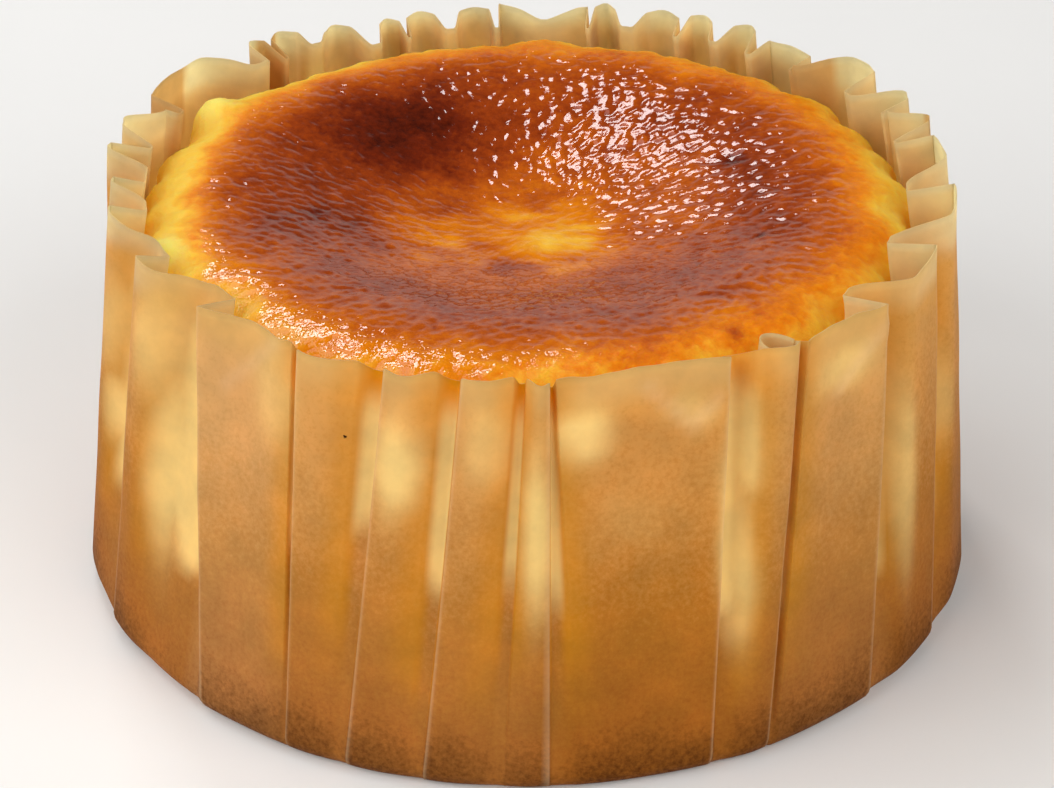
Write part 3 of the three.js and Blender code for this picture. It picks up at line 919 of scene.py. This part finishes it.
# %% Rings and spots of brown
RING_PLACE = [0, 0.15, 0.3, 0.4, 0.5, 0.6, 0.7, 0.76, 0.83, 0.88, 0.92, 0.96, 1.03]
RING_BROWN = [0.36, 0.43, 0.53, 0.59, 0.64, 0.68, 0.66, 0.58, 0.43, 0.34, 0.27, 0.2, 0.1]
# Each spot: where its middle is, half its width and how much browner it is. Below 0 it is paler.
SPOTS = [
    ["burnt place at the back left", -15, 17, 10.5, 0.35],
    ["dark left slope", -23.5, -3.5, 7, 0.15],
    ["yellow middle", 4, -3, 6, -0.2],
    ["yellow patch at the left", -12.5, -0.5, 4.5, -0.2],
    ["yellow patch behind the middle", -2, 6, 4, -0.08],
    ["yellow patch in front of the middle", 6, -11.5, 3, -0.08],
    ["brown place between them", -5.5, -3, 2.2, 0.1],
    ["brown place in front of the middle", -1.2, -9.4, 2.8, 0.2],
    ["lighter place at the front left", -12, -12, 5, -0.06],
    ["pit in the back slope", 24.6, 10.6, 1.9, 0.26],
    ["hole in the right slope", 27, -9.7, 0.7, 0.25],
    ["brown mark on the front shoulder", 22.3, -34.9, 1.0, 0.2],
    ["knob that rose over a fold at the left", -42.2, -15.2, 2.4, -0.3],
    ["swelling into the paper at the back left", -39, 21.8, 3.2, -0.14],
]
# Each mottle: its strength, the size of its lumps and its seed.
MOTTLES = [[0.09, 8, 41], [0.07, 3, 42]]
WRINKLE_PALE, PEBBLE_PALE = 0.05, 0.03
# Streaks in the dish: strength, size, seed, stretch, and the distances from the middle where they fade.
DISH_STREAKS = [
    ["broad patches", 0.13, 5, 43, [1, 1.8, 1], (10, 22)],
    ["narrow streaks", 0.06, 2.2, 44, [0.7, 1.6, 1], (12, 22)],
]
# Each pale and lit side of the edge: its angle, half its width in degrees and its share. It is partly
# paler crumb and partly painted light that comes in through the paper.
PALE_AND_LIT_SIDES = [[260, 44, 1], [93, 16, 0.5]]
PALE_STRENGTH, PALE_SPAN, PALEST = 0.34, (0.78, 0.96), 0.11
SIDE_BROWN, SIDE_PLACE = 0.08, 0.99

mottle = sum(strength * lumps(cake, size, seed) for strength, size, seed in MOTTLES)
mottle = mottle - WRINKLE_PALE * wrinkles - PEBBLE_PALE * pebbles
brown = np.interp(cake_place, RING_PLACE, RING_BROWN) + on_top * mottle
for _, strength, size, seed, stretch, fades in DISH_STREAKS:
    brown = brown + strength * lumps(cake * stretch, size, seed) * (1 - rising(np.hypot(x, y), *fades))
# Paler at the left and the right: partly paler crumb, partly painted light coming in through the paper.
pale = sum(strength * bell((cake_angle - side) / half_wide) for side, half_wide, strength in PALE_AND_LIT_SIDES)
brown = np.maximum(brown - PALE_STRENGTH * pale * rising(cake_place, *PALE_SPAN), PALEST)
for _, spot_x, spot_y, reach, amount in SPOTS:
    brown = brown + amount * round_spot(spot_x, spot_y, reach)
brown = np.clip(brown, 0, 1)
brown[(cake_z < EDGE_HEIGHT - 1) & (cake_place > SIDE_PLACE)] = SIDE_BROWN
print("browning goes from", brown.min().round(2), "to", brown.max().round(2))

# %% Oily and dry places
OILY_ANGLE, OILY_HALF_WIDE = -32, 34
GLOSS_EDGE, OILY_EDGE, GLOSS_FADE = 0.79, 0.92, 0.07
SHOULDER_SPAN = 0.78, 0.85

oily = np.exp(-((sided(cake_angle - OILY_ANGLE) / OILY_HALF_WIDE) ** 4))
gloss_edge = mix(GLOSS_EDGE, OILY_EDGE, oily)
gloss = 1 - rising(cake_place, gloss_edge, gloss_edge + GLOSS_FADE)
shoulder = rising(cake_place, *SHOULDER_SPAN)
crust_marks = {"brown": brown, "gloss": gloss, "shoulder": shoulder}
dish_middle = [0, 0, cake[-1, :, 2].mean()]
cake_piece = skin_from_rings("cake_skin", cake, [0, 0, CAKE_BASE], dish_middle, crust_marks)

# %% [markdown]
# # The browned crust
#
# One ramp turns the browning into colour, from cream to nearly black. The dish is oily, so it gets a smooth
# shader that mirrors the lamps: the wrinkles in the mesh break the mirror image into sparkle, and the bump
# stays low, because strong fine bump would turn the sparkle into haze. The edge is soft crumb, which lets
# light in, so it gets a duller shader with subsurface scattering. The gloss mark blends the two.

# %% Browned crust
CRUST = [
    [0.0, srgb(255, 224, 106)],
    [0.15, srgb(255, 188, 54)],
    [0.32, srgb(236, 134, 6)],
    [0.5, srgb(200, 95, 12)],
    [0.68, srgb(158, 62, 12)],
    [0.85, srgb(112, 34, 6)],
    [1.0, srgb(70, 16, 2)],
]
PORE_BROWN = 0.06
PORES_ON_PALE, PALE_TO_BROWN = 0.25, (0.2, 0.5)
SHOULDER_GRAINS = 0.28

crust_material, tree = new_material("browned_crust")
pores = grain(tree, 0.8, 6.0, 0.65)
pore_share = ranged(tree, mark_of(tree, "brown"), *PALE_TO_BROWN, PORES_ON_PALE, 1.0)
uneven = maths(tree, "MULTIPLY", varied(tree, pores, -PORE_BROWN, PORE_BROWN), pore_share)
baked = colour_ramp(tree, maths(tree, "ADD", mark_of(tree, "brown"), uneven), CRUST)
ripples = add(tree, "Bump", {"Strength": 0.12, "Distance": 0.0002, "Height": grain(tree, 0.5, 1.0)})
bump = add(tree, "Bump", {
    "Strength": maths(tree, "MULTIPLY", mark_of(tree, "shoulder"), SHOULDER_GRAINS),
    "Distance": 0.0002,
    "Height": grain(tree, 0.35, 0.0),
    "Normal": ripples.outputs["Normal"],
}).outputs["Normal"]
crust = add(tree, "BsdfPrincipled", {
    "Base Color": baked,
    "Roughness": varied(tree, pores, 0.06, 0.11),
    "IOR": 1.45,
    "Normal": bump,
})
crumb = add(tree, "BsdfPrincipled", {
    "Base Color": baked,
    "Roughness": 0.5,
    "IOR": 1.45,
    "Specular IOR Level": 0.15,
    "Normal": bump,
    "Subsurface Weight": 0.8,
    "Subsurface Radius": (1.0, 0.55, 0.2),
    "Subsurface Scale": 0.006,
})
whole = add(tree, "MixShader", {0: mark_of(tree, "gloss"), 1: crumb.outputs[0], 2: crust.outputs[0]})
add(tree, "OutputMaterial", {"Surface": whole.outputs[0]})
cake_piece.data.materials.append(crust_material)

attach(cake_piece, "root")
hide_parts("cheesecake")
print("crust finish:", len(tree.nodes), "nodes")

# %% [markdown]
# # A plain studio
#
# A pale floor and a pale world give soft light from all sides. A small lamp stands behind the cake on the
# left: the oily top mirrors it towards the camera, which makes the sparkle on the back slope and on the
# front shoulder. A larger one higher up lights the pale edge through the paper, and a large soft one at
# each side keeps the faces of the paper clear. The world is dark high up, because a bright ceiling would
# lie on the glossy crust as a grey veil.

# %% Floor
FLOOR_REACH = 1.5

floor_mesh = bpy.data.meshes.new("floor")
floor_corners = [(-1, -1, 0), (1, -1, 0), (1, 1, 0), (-1, 1, 0)]
floor_mesh.from_pydata((FLOOR_REACH * np.array(floor_corners)).tolist(), [], [(0, 1, 2, 3)])
floor = bpy.data.objects.new("floor", floor_mesh)
bpy.context.scene.collection.objects.link(floor)
floor_material, tree = new_material("pale_floor")
tone = blended(tree, grain(tree, 60.0), srgb(244, 243, 241), srgb(250, 249, 247))
floor_surface = add(tree, "BsdfPrincipled", {"Base Color": tone, "Roughness": 0.9})
add(tree, "OutputMaterial", {"Surface": floor_surface.outputs[0]})
floor.data.materials.append(floor_material)
print("floor is", 2 * FLOOR_REACH, "m wide")

# %% Lamps
# Each lamp: its angle round the cake and above the floor, its distance and size in metres, its power.
LAMPS = [
    ["lamp_behind_left", -162, 49, 0.9, 0.2, 1.6],
    ["lamp_high_left", -120, 55, 1.0, 0.6, 2.2],
    ["lamp_left", -55, 28, 1.0, 1.0, 8.3],
    ["lamp_right", 48, 28, 1.0, 1.0, 6.8],
]
LOOK_AT = [0, 0, 0.03]


def soft_lamp(name, turn, climb, far, size, power):
    """A square lamp that looks at the cake from an angle round it, an angle above the floor and a
    distance: sine and cosine of the two angles give its place, and the same angles turn it."""
    data = bpy.data.lights.new(name, "AREA")
    data.size = size
    data.energy = power
    lamp = bpy.data.objects.new(name, data)
    turned, up = np.radians(turn), np.radians(climb)
    spot = far * np.array([np.sin(turned) * np.cos(up), -np.cos(turned) * np.cos(up), np.sin(up)])
    lamp.location = spot + LOOK_AT
    lamp.rotation_euler = (np.pi / 2 - up, 0, turned)
    bpy.context.scene.collection.objects.link(lamp)
    return lamp


lamps = [soft_lamp(*values) for values in LAMPS]
print("lamps:", [lamp.name for lamp in lamps])

# %% World
WORLD_LOW, WORLD_HIGH = 0.52, 0.06
WORLD_FADES = 0.32, 0.52
WORLD_COLOUR = (1.0, 0.98, 0.95, 1)

world = bpy.data.worlds.new("pale_room")
world.use_nodes = True
tree = world.node_tree
direction = add(tree, "SeparateXYZ", {"Vector": add(tree, "TexCoord").outputs["Generated"]})
strength = ranged(tree, direction.outputs["Z"], *WORLD_FADES, WORLD_LOW, WORLD_HIGH)
tree.links.new(strength, tree.nodes["Background"].inputs["Strength"])
tree.nodes["Background"].inputs["Color"].default_value = WORLD_COLOUR
scene = bpy.context.scene
scene.world = world
scene.view_settings.view_transform = "Standard"
print("world light:", WORLD_LOW, "near the floor and", WORLD_HIGH, "high up")

# %% [markdown]
# # The camera
#
# A long lens more than a third of a metre away looks down on the cake by about 31 degrees. Everything is
# sharp, from the front of the paper to the back of its rim.

# %% Camera
CAMERA_PLACE = (0, -0.324, 0.2133)
LOOK_DOWN = 30.9
LENS, SENSOR = 105.4, 36
NEAREST = 0.01

camera_data = bpy.data.cameras.new("camera")
camera_data.sensor_fit = "HORIZONTAL"
camera_data.sensor_width = SENSOR
camera_data.lens = LENS
camera_data.clip_start = NEAREST
camera = bpy.data.objects.new("camera", camera_data)
camera.location = CAMERA_PLACE
camera.rotation_euler = (np.radians(90 - LOOK_DOWN), 0, 0)
scene.collection.objects.link(camera)
scene.camera = camera
print("camera at", CAMERA_PLACE, "with a lens of", LENS, "mm")
